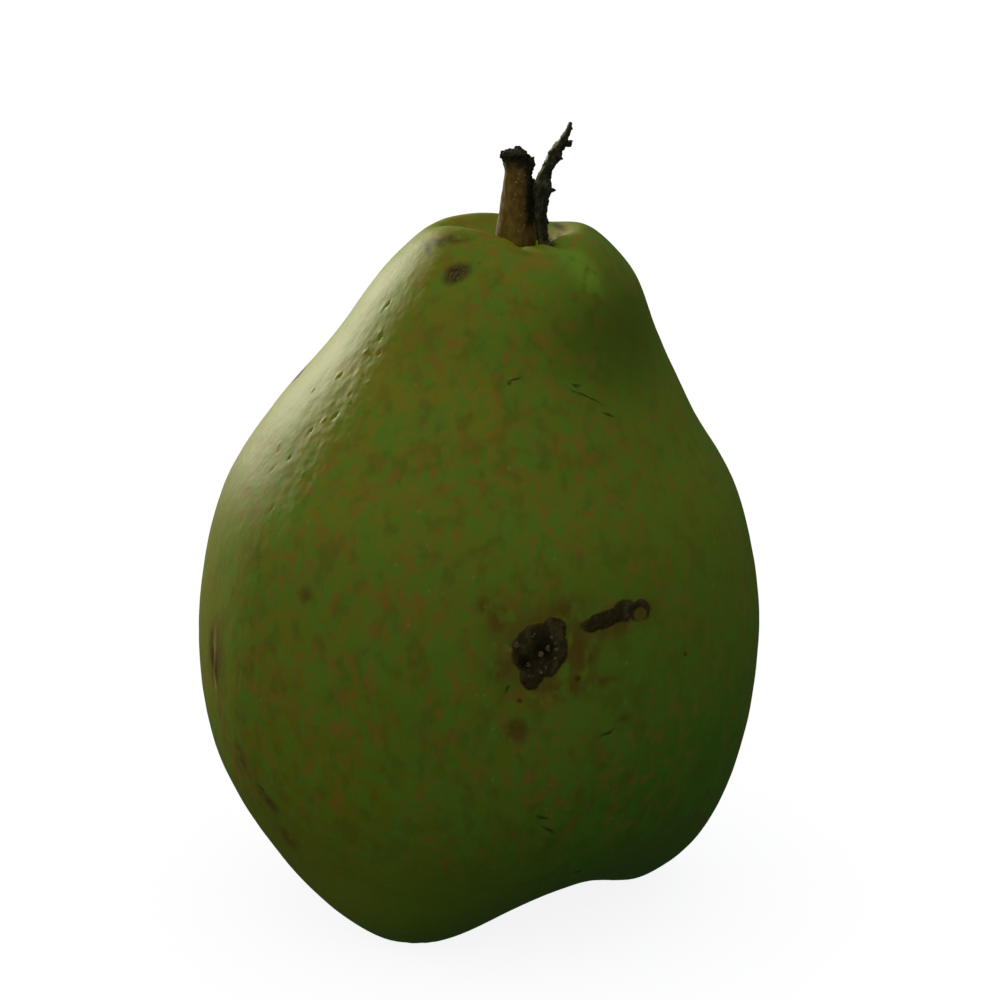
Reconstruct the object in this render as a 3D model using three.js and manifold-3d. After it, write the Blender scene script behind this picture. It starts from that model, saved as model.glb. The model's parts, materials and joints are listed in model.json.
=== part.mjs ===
// A fresh pear standing on the low lobes round its calyx: the fruit, its woody stem, the
// withered side twig that dried up beside the stem, and the dry calyx in the hollow underneath.
// Millimetres, +Z up. The side that leans and bulges most is towards -Y, and z = 0 is the surface
// that the pear stands on.
import * as THREE from "three";
import { mergeVertices } from "three/addons/utils/BufferGeometryUtils.js";
import Module from "manifold-3d";

const wasm = await Module();
wasm.setup();

const FIT_GAP = 0.3; // space between a grown-in root and the flesh around it
const GROUND = { width: 90, depth: 20 }; // the block below z = 0 that trims the feet flat
const DEGREE = Math.PI / 180;
const MERGE_DISTANCE = 1e-4; // corners nearer than this are one corner

// The core line leans from the hollow under the calyx to the hollow round the stem.
const CORE_BASE = { x: 1.5, y: 1.0 };
const CORE_TOP = { x: 5.5, y: 0.0 };
const CROWN_HEIGHT = 90.8;

// Rings of the fruit from the floor of the stem hollow, over the shoulder and down to the floor
// of the calyx hollow: height, then distance from the core line on four sides.
const FRUIT_RINGS = [
  { z: 87.4, right: 0, back: 0, left: 0, front: 0 }, // floor of the stem hollow
  { z: 87.8, right: 3.0, back: 3.2, left: 4.2, front: 2.6 },
  { z: 89.1, right: 5.2, back: 6.0, left: 7.6, front: 4.0 }, // wall of the stem hollow
  { z: 90.3, right: 7.8, back: 8.8, left: 10.2, front: 6.4 }, // top of the shoulder
  { z: 89.0, right: 10.8, back: 12.4, left: 13.0, front: 11.2 },
  { z: 84.0, right: 15.0, back: 16.6, left: 17.8, front: 16.4 },
  { z: 76.0, right: 18.2, back: 20.4, left: 23.4, front: 21.2 }, // neck
  { z: 66.0, right: 23.2, back: 25.6, left: 31.3, front: 27.8 },
  { z: 54.0, right: 30.1, back: 32.2, left: 37.8, front: 34.2 },
  { z: 38.0, right: 33.4, back: 35.2, left: 39.8, front: 36.8 }, // widest
  { z: 22.0, right: 32.4, back: 33.8, left: 37.5, front: 35.2 },
  { z: 9.0, right: 27.6, back: 28.0, left: 29.6, front: 28.4 },
  { z: 2.0, right: 19.8, back: 20.0, left: 19.6, front: 19.6 }, // lowest ring
  { z: 2.4, right: 11.6, back: 12.0, left: 12.0, front: 12.0 },
  { z: 6.0, right: 6.0, back: 6.0, left: 6.0, front: 6.0 }, // wall of the calyx hollow
  { z: 7.4, right: 0, back: 0, left: 0, front: 0 }, // floor of the calyx hollow
];

// Lumps and creases: a bell-shaped change at an angle round the core (0 at +X, in degrees) and at
// a ring number, with its spread each way, moving the skin outwards and upwards.
const FRUIT_SWELLS = [
  { at: -122, spread: 30, ring: 12, reach: 1.5, out: 2.4, up: -3.0 }, // front left foot
  { at: -58, spread: 36, ring: 12, reach: 1.7, out: -0.8, up: 4.2 }, // rise between the feet
  { at: 16, spread: 28, ring: 12, reach: 1.4, out: 0.6, up: -2.4 }, // right foot
  { at: 96, spread: 30, ring: 12.2, reach: 1.4, out: 0.5, up: -2.4 }, // back foot
  { at: 170, spread: 30, ring: 12.2, reach: 1.4, out: -0.5, up: -2.4 }, // left foot
  { at: -150, spread: 34, ring: 3, reach: 1.3, out: 0.2, up: 1.2 }, // front left fold
  { at: -76, spread: 26, ring: 3, reach: 1.3, out: 0, up: -1.1 }, // dip in front of the stem
  { at: -93, spread: 8, ring: 2.7, reach: 0.8, out: -0.2, up: -0.5 }, // crease at the stem
  { at: -48, spread: 9, ring: 2.7, reach: 1.0, out: -0.2, up: -1.4 }, // crease at the twig
  { at: 72, spread: 32, ring: 3.5, reach: 1.5, out: 0, up: -1.2 }, // low place in the back rim
  { at: 174, spread: 20, ring: 2.8, reach: 1.1, out: 0.5, up: -0.6 }, // low place in the left rim
  { at: 5, spread: 36, ring: 3.5, reach: 1.3, out: -0.4, up: -0.3 }, // right shoulder
];

// Mesh rows between each ring and the next, and corners round each row.
const RING_STEPS = [4, 4, 4, 4, 4, 3, 3, 3, 3, 3, 3, 4, 4, 4, 3];
const FRUIT_SIDES = 72;

// A cubic through evenly numbered values. Past both ends the values go on as mirrored ones:
// sign 1 for a height, which is level at the core, and -1 for a radius, which crosses it.
function smoothValue(values, position, sign) {
  const last = values.length - 1;
  const i = Math.min(Math.floor(position), last - 1);
  const f = position - i;
  const before = i > 0 ? values[i - 1] : sign * values[1];
  const after = i + 2 > last ? sign * values[last - 1] : values[i + 2];
  const start = values[i];
  const end = values[i + 1];
  const startSlope = (end - before) / 2;
  const endSlope = (after - start) / 2;
  const rise = f * f * (3 - 2 * f);
  return (
    start * (1 - rise) +
    end * rise +
    startSlope * f * (1 - f) * (1 - f) -
    endSlope * f * f * (1 - f)
  );
}

// Share of the side that lies this angle away, out of four sides a quarter turn apart.
function sideShare(angle) {
  return (1 + 2 * Math.cos(angle) + Math.cos(2 * angle)) / 4;
}

const fruitHeights = FRUIT_RINGS.map((ring) => ring.z);
const fruitSides = ["right", "back", "left", "front"].map((side) =>
  FRUIT_RINGS.map((ring) => ring[side]),
);

// A point of the fruit's skin at an angle round the core and at a ring number.
function fruitPoint(angle, ring) {
  let z = smoothValue(fruitHeights, ring, 1);
  let radius = 0;
  fruitSides.forEach((side, quarter) => {
    radius += sideShare(angle - (quarter * Math.PI) / 2) * smoothValue(side, ring, -1);
  });
  const fade = Math.min(1, ring, FRUIT_RINGS.length - 1 - ring); // none at the two ends
  for (const swell of FRUIT_SWELLS) {
    const turn = angle / DEGREE - swell.at;
    const away = turn - 360 * Math.round(turn / 360);
    const bell = Math.exp(-((away / swell.spread) ** 2) - ((ring - swell.ring) / swell.reach) ** 2);
    radius += swell.out * bell * fade;
    z += swell.up * bell * fade;
  }
  const share = THREE.MathUtils.clamp(z / CROWN_HEIGHT, 0, 1);
  const coreX = THREE.MathUtils.lerp(CORE_BASE.x, CORE_TOP.x, share);
  const coreY = THREE.MathUtils.lerp(CORE_BASE.y, CORE_TOP.y, share);
  return [coreX + radius * Math.cos(angle), coreY + radius * Math.sin(angle), z];
}

// A closed geometry from rings of points listed bottom to top, each end closed to a point.
function closedRings(rings, bottomPoint, topPoint) {
  const sides = rings[0].length;
  const positions = [...bottomPoint, ...rings.flat(2), ...topPoint];
  const topIndex = positions.length / 3 - 1;
  const index = [];
  const at = (ring, side) => 1 + ring * sides + (side % sides);
  for (let side = 0; side < sides; side++) {
    index.push(0, at(0, side + 1), at(0, side));
    for (let ring = 0; ring + 1 < rings.length; ring++) {
      index.push(at(ring, side), at(ring, side + 1), at(ring + 1, side + 1));
      index.push(at(ring, side), at(ring + 1, side + 1), at(ring + 1, side));
    }
    index.push(topIndex, at(rings.length - 1, side), at(rings.length - 1, side + 1));
  }
  return new THREE.BufferGeometry()
    .setAttribute("position", new THREE.Float32BufferAttribute(positions, 3))
    .setIndex(index);
}

// A limb along stations listed bottom to top: centre x, y, z, half width and half depth. The
// sections lie square to the way the limb runs.
function limb(stations, sides, extra = 0) {
  const centres = stations.map((s) => new THREE.Vector3(s.x, s.y, s.z));
  const rings = stations.map((station, i) => {
    const ahead = centres[Math.min(i + 1, centres.length - 1)];
    const behind = centres[Math.max(i - 1, 0)];
    const along = ahead.clone().sub(behind).normalize();
    const across = new THREE.Vector3(0, 1, 0).cross(along).normalize();
    const deep = along.clone().cross(across);
    return Array.from({ length: sides }, (_, side) => {
      const angle = (side / sides) * 2 * Math.PI;
      return centres[i]
        .clone()
        .addScaledVector(across, (station.wide + extra) * Math.cos(angle))
        .addScaledVector(deep, (station.deep + extra) * Math.sin(angle))
        .toArray();
    });
  });
  return closedRings(rings, centres[0].toArray(), centres.at(-1).toArray());
}

function toSolid(geometry) {
  const bare = geometry.clone();
  bare.deleteAttribute("normal");
  bare.deleteAttribute("uv");
  const merged = mergeVertices(bare, MERGE_DISTANCE);
  return new wasm.Manifold(
    new wasm.Mesh({
      numProp: 3,
      vertProperties: new Float32Array(merged.attributes.position.array),
      triVerts: new Uint32Array(merged.index.array),
    }),
  );
}

function toGeometry(solid) {
  const mesh = solid.getMesh();
  const geometry = new THREE.BufferGeometry()
    .setAttribute("position", new THREE.BufferAttribute(mesh.vertProperties, 3))
    .setIndex(new THREE.BufferAttribute(mesh.triVerts, 1));
  geometry.computeVertexNormals();
  return geometry;
}

// A repeatable stream of numbers from 0 to 1.
function seededNumbers(seed) {
  let state = seed;
  return () => {
    state = (state * 1664525 + 1013904223) % 4294967296;
    return state / 4294967296;
  };
}

// A small burr of bark or wood, sunk half into what it grows from.
const BURR_SIDES = 8;
const BURR_ROWS = 6;

function burr({ x, y, z, wide, tall }) {
  const geometry = new THREE.SphereGeometry(1, BURR_SIDES, BURR_ROWS).scale(wide, wide, tall);
  return toSolid(geometry.translate(x, y, z));
}

// The stem: a flared root, a waist and the knobbly crown where it parted from the branch.
const STEM_STATIONS = [
  { x: 4.7, y: 0.2, z: 85.4, wide: 1.8, deep: 1.7 },
  { x: 4.7, y: 0.2, z: 86.8, wide: 2.3, deep: 2.1 },
  { x: 4.7, y: 0.2, z: 88.2, wide: 2.6, deep: 2.3 },
  { x: 4.7, y: 0.2, z: 89.6, wide: 2.55, deep: 2.25 },
  { x: 4.72, y: 0.2, z: 91.6, wide: 2.25, deep: 2.05 },
  { x: 4.75, y: 0.2, z: 93.6, wide: 2.0, deep: 1.85 },
  { x: 4.8, y: 0.2, z: 95.6, wide: 1.75, deep: 1.7 },
  { x: 4.8, y: 0.2, z: 97.6, wide: 1.5, deep: 1.5 },
  { x: 4.6, y: 0.2, z: 98.8, wide: 1.5, deep: 1.5 },
  { x: 4.5, y: 0.2, z: 99.7, wide: 1.55, deep: 1.5 },
  { x: 4.5, y: 0.2, z: 100.2, wide: 1.2, deep: 1.2 },
];
const STEM_SIDES = 20;
const CROWN = { x: 4.5, y: 0.2, z: 99.8, radius: 1.3, burrs: 10, burrSize: 0.5, unevenness: 0.5 };
const LOOSE_BARK = [
  // lifted strips down the twig's side
  { x: 6.45, y: 0.1, z: 98.3, wide: 0.75, tall: 1.4 },
  { x: 6.3, y: 0.1, z: 96.2, wide: 0.65, tall: 1.3 },
  { x: 6.5, y: 0.1, z: 94.0, wide: 0.6, tall: 1.4 },
  // more of them behind the twig
  { x: 6.85, y: 0.9, z: 95.2, wide: 0.55, tall: 1.3 },
  { x: 6.9, y: 0.9, z: 93.2, wide: 0.55, tall: 1.4 },
  { x: 7.0, y: 0.9, z: 91.2, wide: 0.55, tall: 1.4 },
];

function stemSolid() {
  const random = seededNumbers(7);
  let solid = toSolid(limb(STEM_STATIONS, STEM_SIDES));
  for (let i = 0; i < CROWN.burrs; i++) {
    const angle = ((i + CROWN.unevenness * random()) / CROWN.burrs) * 2 * Math.PI;
    const size = CROWN.burrSize * (1 + CROWN.unevenness * (random() - 0.5));
    const x = CROWN.x + CROWN.radius * Math.cos(angle);
    const y = CROWN.y + CROWN.radius * Math.sin(angle);
    const z = CROWN.z + CROWN.unevenness * (random() - 0.5);
    solid = solid.add(burr({ x, y, z, wide: size, tall: size }));
  }
  for (const strip of LOOSE_BARK) solid = solid.add(burr(strip));
  return solid;
}

// The side twig: dry, swollen at its joint, then thin and leaning outwards.
const TWIG_STATIONS = [
  { x: 8.4, y: -1.8, z: 85.4, wide: 0.6, deep: 0.6 },
  { x: 8.35, y: -1.8, z: 87.2, wide: 0.7, deep: 0.7 },
  { x: 8.25, y: -1.8, z: 88.6, wide: 0.7, deep: 0.75 },
  { x: 8.0, y: -1.8, z: 90.2, wide: 0.72, deep: 0.8 },
  { x: 7.9, y: -1.8, z: 92.0, wide: 0.74, deep: 0.85 },
  { x: 7.92, y: -1.8, z: 93.6, wide: 0.84, deep: 0.9 },
  { x: 8.0, y: -1.75, z: 94.9, wide: 1.0, deep: 0.95 },
  { x: 8.12, y: -1.65, z: 96.0, wide: 1.15, deep: 1.0 },
  { x: 8.2, y: -1.5, z: 97.0, wide: 0.92, deep: 0.85 },
  { x: 8.5, y: -1.3, z: 98.0, wide: 0.72, deep: 0.72 },
  { x: 9.15, y: -1.0, z: 99.1, wide: 0.78, deep: 0.75 },
  { x: 9.75, y: -0.7, z: 100.3, wide: 0.75, deep: 0.7 },
  { x: 10.7, y: -0.3, z: 101.7, wide: 0.55, deep: 0.52 },
  { x: 11.3, y: 0, z: 102.9, wide: 0.36, deep: 0.36 },
  { x: 11.6, y: 0.2, z: 103.9, wide: 0.25, deep: 0.25 },
];
const TWIG_SIDES = 12;
const TWIG_BURRS = [
  { x: 9.25, y: -1.6, z: 95.5, wide: 0.4, tall: 0.3 }, // thorn at the joint
  { x: 10.0, y: -0.8, z: 99.7, wide: 0.6, tall: 0.75 }, // old bud scar
  { x: 11.35, y: -0.3, z: 101.2, wide: 0.45, tall: 0.5 }, // dried bud
];

function twigSolid() {
  let solid = toSolid(limb(TWIG_STATIONS, TWIG_SIDES));
  for (const place of TWIG_BURRS) solid = solid.add(burr(place));
  return solid;
}

// The calyx: a short dry cup with sepals curling outwards and dried stamens round its mouth.
const CALYX = { x: 1.8, y: 0.9 };
const CUP_STATIONS = [
  { ...CALYX, z: 3.9, wide: 1.7, deep: 1.7 },
  { ...CALYX, z: 5.4, wide: 2.1, deep: 2.1 },
  { ...CALYX, z: 8.0, wide: 1.6, deep: 1.6 },
];
const CUP_SIDES = 20;
const SEPALS = 5;
const SEPAL_UNEVENNESS = 0.15; // of the angle between two sepals
const SEPAL_STATIONS = [
  { reach: 0.9, z: 4.6, wide: 1.1 },
  { reach: 2.3, z: 3.5, wide: 1.25 },
  { reach: 3.6, z: 2.9, wide: 0.95 },
  { reach: 4.9, z: 3.0, wide: 0.4 },
];
const SEPAL_SIDES = 10;
const SEPAL_HALF_THICKNESS = 0.35;
const SEPAL_ARCH = 0.25; // how far the edges curl down, as a share of the half width
const STAMENS = { count: 9, ring: 0.9, root: 4.6, tip: 2.6, radius: 0.32, sides: 6 };
const STAMEN_LEAN = { least: 0.5, more: 0.5 }; // how far the tips lean out of the ring

function sepal(turn) {
  const rings = SEPAL_STATIONS.map(({ reach, z, wide }) =>
    Array.from({ length: SEPAL_SIDES }, (_, side) => {
      const angle = (side / SEPAL_SIDES) * 2 * Math.PI;
      const arch = SEPAL_ARCH * wide * Math.cos(angle) ** 2;
      const lift = SEPAL_HALF_THICKNESS * Math.sin(angle) - arch;
      return [-wide * Math.cos(angle), reach, z + lift];
    }),
  );
  const root = SEPAL_STATIONS[0];
  const tip = SEPAL_STATIONS.at(-1);
  const geometry = closedRings(rings, [0, root.reach, root.z], [0, tip.reach, tip.z]);
  return toSolid(geometry.rotateZ(turn).translate(CALYX.x, CALYX.y, 0));
}

function stamen(angle, lean) {
  const station = (reach, z) => ({
    x: CALYX.x + reach * Math.cos(angle),
    y: CALYX.y + reach * Math.sin(angle),
    z,
    wide: STAMENS.radius,
    deep: STAMENS.radius,
  });
  const stations = [station(STAMENS.ring + lean, STAMENS.tip), station(STAMENS.ring, STAMENS.root)];
  return toSolid(limb(stations, STAMENS.sides));
}

function calyxSolid() {
  const random = seededNumbers(3);
  let solid = toSolid(limb(CUP_STATIONS, CUP_SIDES));
  for (let i = 0; i < SEPALS; i++) {
    solid = solid.add(sepal(((i + SEPAL_UNEVENNESS * random()) / SEPALS) * 2 * Math.PI));
  }
  for (let i = 0; i < STAMENS.count; i++) {
    const angle = (i / STAMENS.count) * 2 * Math.PI;
    solid = solid.add(stamen(angle, STAMEN_LEAN.least + STAMEN_LEAN.more * random()));
  }
  return solid;
}

// A limb's socket: the limb grown by the fit gap, also past its root at the first or last station.
function socket(stations, sides, root) {
  const deeper = stations.map((station) => ({ ...station }));
  deeper.at(root).z += root === 0 ? -FIT_GAP : FIT_GAP;
  return toSolid(limb(deeper, sides, FIT_GAP));
}

// The fruit, trimmed flat where it rests and hollowed where the stem, twig and calyx are rooted.
function fruitSolid() {
  const rows = [];
  RING_STEPS.forEach((steps, ring) => {
    for (let step = 0; step < steps; step++) rows.push(ring + step / steps);
  });
  const rings = rows.slice(1).map((row) =>
    Array.from({ length: FRUIT_SIDES }, (_, side) =>
      fruitPoint((side / FRUIT_SIDES) * 2 * Math.PI, row),
    ),
  );
  const calyxFloor = fruitPoint(0, FRUIT_RINGS.length - 1);
  const skin = closedRings(rings.reverse(), calyxFloor, fruitPoint(0, 0));
  const ground = new THREE.BoxGeometry(GROUND.width, GROUND.width, GROUND.depth);
  return toSolid(skin)
    .subtract(toSolid(ground.translate(0, 0, -GROUND.depth / 2)))
    .subtract(socket(STEM_STATIONS, STEM_SIDES, 0))
    .subtract(socket(TWIG_STATIONS, TWIG_SIDES, 0))
    .subtract(socket(CUP_STATIONS, CUP_SIDES, -1));
}

const MATERIALS = {
  skin: new THREE.MeshStandardMaterial({ color: "#5f6e1e", roughness: 0.45, metalness: 0 }),
  wood: new THREE.MeshStandardMaterial({ color: "#5a4526", roughness: 0.8, metalness: 0 }),
  dryTwig: new THREE.MeshStandardMaterial({ color: "#2e2a20", roughness: 0.9, metalness: 0 }),
  dryCalyx: new THREE.MeshStandardMaterial({ color: "#3a2c1c", roughness: 0.9, metalness: 0 }),
};

function addPiece(group, name, solid, material) {
  const mesh = new THREE.Mesh(toGeometry(solid), material);
  mesh.name = name;
  group.add(mesh);
}

const pear = new THREE.Group();
addPiece(pear, "fruit", fruitSolid(), MATERIALS.skin);
addPiece(pear, "stem", stemSolid(), MATERIALS.wood);
addPiece(pear, "side_twig", twigSolid(), MATERIALS.dryTwig);
addPiece(pear, "calyx", calyxSolid(), MATERIALS.dryCalyx);

export default pear;
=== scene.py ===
# A fresh pear on a pale floor: the skin with its russet flecks, scabs and pits, the woody stem,
# the withered twig beside it, and the dry calyx in the hollow underneath.
import json
import math

import bmesh
import bpy
import numpy as np
from mathutils import Matrix, Vector, noise
from mathutils.bvhtree import BVHTree

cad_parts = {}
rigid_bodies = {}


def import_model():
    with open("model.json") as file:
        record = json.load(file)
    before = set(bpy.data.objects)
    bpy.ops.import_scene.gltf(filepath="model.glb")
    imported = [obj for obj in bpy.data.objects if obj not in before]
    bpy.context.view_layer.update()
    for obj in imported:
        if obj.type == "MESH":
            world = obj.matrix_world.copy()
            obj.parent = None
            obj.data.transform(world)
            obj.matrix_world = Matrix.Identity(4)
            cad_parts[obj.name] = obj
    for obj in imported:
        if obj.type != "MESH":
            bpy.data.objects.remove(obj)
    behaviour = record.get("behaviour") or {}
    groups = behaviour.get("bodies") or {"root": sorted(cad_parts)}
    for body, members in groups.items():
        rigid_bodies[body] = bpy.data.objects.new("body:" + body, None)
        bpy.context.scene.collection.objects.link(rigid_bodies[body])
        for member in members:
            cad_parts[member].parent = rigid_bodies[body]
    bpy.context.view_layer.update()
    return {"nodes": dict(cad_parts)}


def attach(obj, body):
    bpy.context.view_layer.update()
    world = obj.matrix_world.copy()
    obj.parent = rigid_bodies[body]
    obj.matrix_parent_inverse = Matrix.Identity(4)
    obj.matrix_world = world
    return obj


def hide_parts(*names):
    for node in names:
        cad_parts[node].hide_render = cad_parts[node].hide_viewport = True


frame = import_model()
print("frame loaded:", len(frame["nodes"]), "nodes")

mm = 0.001  # pieces are worked out in millimetres and scaled to metres at the end


# Small tools

def linearColour(hexText):
    # the sRGB curve undone, because materials and lights take linear values
    parts = [int(hexText[i:i + 2], 16) / 255 for i in (1, 3, 5)]
    linear = [p / 12.92 if p <= 0.04045 else ((p + 0.055) / 1.055) ** 2.4 for p in parts]
    return (*linear, 1.0)


def addNode(tree, kind, settings=None, sockets=None, output=0):
    # sockets are links or plain values, by name or by number
    node = tree.nodes.new(kind)
    for name, value in (settings or {}).items():
        setattr(node, name, value)
    for key, value in (sockets or {}).items():
        if isinstance(value, bpy.types.NodeSocket):
            tree.links.new(value, node.inputs[key])
        else:
            node.inputs[key].default_value = value
    return node.outputs[output] if len(node.outputs) else node


def newMaterial(name):
    material = bpy.data.materials.new(name)
    material.use_nodes = True
    material.node_tree.nodes.clear()
    return material, material.node_tree


def newObject(name, vertices, faces):
    mesh = bpy.data.meshes.new(name)
    mesh.from_pydata([tuple(v) for v in vertices], [], faces)
    mesh.update()
    thing = bpy.data.objects.new(name, mesh)
    bpy.context.scene.collection.objects.link(thing)
    return thing


def places(mesh):
    flat = np.empty(len(mesh.vertices) * 3, np.float32)
    mesh.vertices.foreach_get("co", flat)
    return flat.reshape(-1, 3).astype(float)


def normalsOf(mesh):
    flat = np.empty(len(mesh.vertices) * 3, np.float32)
    mesh.vertex_normals.foreach_get("vector", flat)
    return flat.reshape(-1, 3).astype(float)


def putPlaces(mesh, points):
    mesh.vertices.foreach_set("co", np.asarray(points, np.float32).ravel())
    mesh.update()


def addValues(mesh, name, values):
    attribute = mesh.attributes.new(name, "FLOAT", "POINT")
    attribute.data.foreach_set("value", np.asarray(values, np.float32))


def unevenness(points, layers):
    # each layer is soft noise: how strong, how wide its lumps are in millimetres, where in the
    # noise it starts, and its scale along Z, which draws the lumps out when it is under 1
    total = np.zeros(len(points))
    for strength, width, start, drawn in layers:
        shift = Vector((start, 0, 0))
        scaled = points * np.array([1, 1, drawn])
        total += strength * np.array([noise.noise(Vector(p) / width + shift) for p in scaled])
    return total


def smoothStep(low, high, value):
    # 0 at low and beyond, 1 at high and beyond, whichever of the two is greater
    share = np.clip((value - low) / (high - low), 0, 1)
    return share * share * (3 - 2 * share)


def cubicThrough(values, position):
    # a smooth curve through values; the first and the last only give the ends their slopes
    values = np.array(values)
    i = np.clip(np.floor(position).astype(int), 0, len(values) - 4)
    f = position - i
    before, start, end, after = (values[i + k] for k in range(4))
    rise = f * f * (3 - 2 * f)
    return (start * (1 - rise) + end * rise + (end - before) / 2 * f * (1 - f) ** 2
            - (after - start) / 2 * f * f * (1 - f))


def bakeModifiers(thing):
    # the evaluated shape becomes the piece's own plain mesh
    bpy.context.view_layer.update()
    graph = bpy.context.evaluated_depsgraph_get()
    baked = bpy.data.meshes.new_from_object(thing.evaluated_get(graph))
    thing.modifiers.clear()
    old = thing.data
    thing.data = baked
    bpy.data.meshes.remove(old)
    baked.name = thing.name


def finishPiece(thing, material, node=None):
    thing.data.transform(Matrix.Scale(mm, 4))
    thing.data.materials.clear()
    thing.data.materials.append(material)
    thing.data.polygons.foreach_set("use_smooth", [True] * len(thing.data.polygons))
    thing.data.update()
    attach(thing, "root")
    if node:
        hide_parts(node)


# The fruit's shape

fruit = {
    "coreBase": (1.5, 1.0),  # where the core line starts, over the calyx
    "coreTop": (5.5, 0.0),  # where it ends, under the stem
    "crownHeight": 90.8,
    # height, then distance from the core line to the right, back, left and front
    "rings": [
        (87.4, 0, 0, 0, 0),  # floor of the stem hollow
        (87.8, 3.0, 3.2, 4.2, 2.6),
        (89.1, 5.2, 6.0, 7.6, 4.0),  # wall of the stem hollow
        (90.3, 7.8, 8.8, 10.2, 6.4),  # top of the shoulder
        (89.0, 10.8, 12.4, 13.0, 11.2),
        (84.0, 15.0, 16.6, 17.8, 16.4),
        (76.0, 18.2, 20.4, 23.4, 21.2),  # neck
        (66.0, 23.2, 25.6, 31.3, 27.8),
        (54.0, 30.1, 32.2, 37.8, 34.2),
        (38.0, 33.4, 35.2, 39.8, 36.8),  # widest
        (22.0, 32.4, 33.8, 37.5, 35.2),
        (9.0, 27.6, 28.0, 29.6, 28.4),
        (2.0, 19.8, 20.0, 19.6, 19.6),  # lowest ring
        (2.4, 11.6, 12.0, 12.0, 12.0),
        (6.0, 6.0, 6.0, 6.0, 6.0),
        (7.4, 0, 0, 0, 0),  # floor of the calyx hollow
    ],
    # angle and its spread, ring and its reach, how far out and how far up
    "swells": [
        (-122, 30, 12, 1.5, 2.4, -3.0),  # front left foot
        (-58, 36, 12, 1.7, -0.8, 4.2),  # rise between the feet
        (16, 28, 12, 1.4, 0.6, -2.4),  # right foot
        (96, 30, 12.2, 1.4, 0.5, -2.4),  # back foot
        (170, 30, 12.2, 1.4, -0.5, -2.4),  # left foot
        (-150, 34, 3, 1.3, 0.2, 1.2),  # front left fold
        (-76, 26, 3, 1.3, 0, -1.1),  # dip in front of the stem
        (-93, 8, 2.7, 0.8, -0.2, -0.5),  # crease at the stem
        (-48, 9, 2.7, 1.0, -0.2, -1.4),  # crease at the twig
        (72, 32, 3.5, 1.5, 0, -1.2),  # low place in the back rim
        (174, 20, 2.8, 1.1, 0.5, -0.6),  # low place in the left rim
        (5, 36, 3.5, 1.3, -0.4, -0.3),  # right shoulder
    ],
    "columns": 340,
    "rows": 285,
    "trials": 4000,  # places tried for the columns and for the rows
    "seam": 33.0,  # angle where the columns start and end
    # where columns and rows lie closer, for the pits: middle, reach, and how much closer
    "fineAngle": (-147.0, 16.0, 3.0),
    "fineHeight": (73.0, 12.0, 2.0),
    "outside": 60.0,  # farther from the core line than any skin
    # layers for unevenness, from broad swellings to fine crumbs
    "lumps": [(0.2, 15, 0.0, 1.0), (0.05, 4, 7.0, 1.0), (0.018, 1.7, 3.0, 1.0)],
    # a strip of the left flank faced the weather and is rougher: angle, reach, height, reach
    "roughStrip": (-147.0, 8.0, 72.0, 16.0),
    "stripLumps": [(0.045, 1.7, 3.0, 1.0), (0.045, 0.8, 11.0, 1.0)],
    "dentSteepness": 1.6,
    "lowestRelief": 4.0,  # below this height the skin gets even, and the feet are flat
}

# Dents in the skin: angle, height, half width, half height, turn, depth; a bump's is negative
dents = [
    (-151.3, 82.6, 0.25, 0.5, -8, 0.2),
    (-153.0, 81.9, 0.35, 0.5, -8, -0.08),
    (-146.5, 79.5, 0.35, 0.3, 0, -0.12),
    (-145.0, 79.0, 0.25, 0.35, 20, 0.15),
    (-148.0, 77.2, 0.5, 0.2, 25, -0.14),
    (-141.8, 77.5, 0.32, 0.35, 0, 0.22),
    (-152.5, 74.0, 0.2, 0.5, -5, 0.15),
    (-154.0, 73.8, 0.25, 0.5, -5, -0.08),
    (-159.8, 71.4, 0.15, 0.35, -10, 0.2),
    (-139.5, 74.4, 0.6, 0.2, 20, -0.1),
    (-143.5, 72.6, 0.35, 0.35, 0, 0.14),
    (-142.0, 72.0, 0.25, 0.25, 0, -0.1),
    (-144.0, 70.2, 0.3, 0.7, -20, 0.2),
    (-147.0, 69.4, 0.25, 0.6, -20, -0.1),
    (-149.0, 68.0, 0.22, 0.35, -20, 0.16),
    (-135.0, 72.6, 0.2, 0.4, 0, -0.1),
    (-158.0, 65.1, 0.3, 0.35, 0, -0.12),
    (-156.6, 64.5, 0.25, 0.25, 0, 0.15),
    (-150.8, 64.5, 0.28, 0.4, -15, 0.18),
    (-154.5, 62.6, 0.2, 0.7, -25, 0.1),
    (-143.3, 63.6, 0.45, 0.22, 30, -0.12),
    (-147.5, 58.8, 0.22, 0.4, -15, 0.13),
    (-156.0, 55.8, 0.22, 0.4, -15, 0.13),
    (-87.5, 35.9, 1.6, 1.4, 0, 0.1),  # bruise under the scab
    (-158.8, 37.0, 0.4, 2.6, 0, 0.25),  # scar on the left flank, with a raised lip
    (-157.4, 36.0, 0.3, 2.2, 0, -0.15),
    (-143.2, 22.2, 0.7, 0.45, 20, 0.2),
    (112.0, 70.0, 0.4, 0.8, 10, 0.2),
    (150.0, 55.0, 0.5, 0.7, -15, 0.2),
    (60.0, 62.0, 0.4, 0.6, 0, 0.2),
    (20.0, 44.0, 1.2, 0.9, 0, 0.12),
]


def ringValue(column, position, sign):
    # past both poles the rings go on mirrored: heights as they are, distances with the other sign
    values = [ring[column] for ring in fruit["rings"]]
    return cubicThrough([sign * values[1], *values, sign * values[-2]], position)


def corePlace(height):
    # where the core line is at a height
    share = np.clip(height / fruit["crownHeight"], 0, 1)
    return [low + (high - low) * share for low, high in zip(fruit["coreBase"], fruit["coreTop"])]


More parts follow.
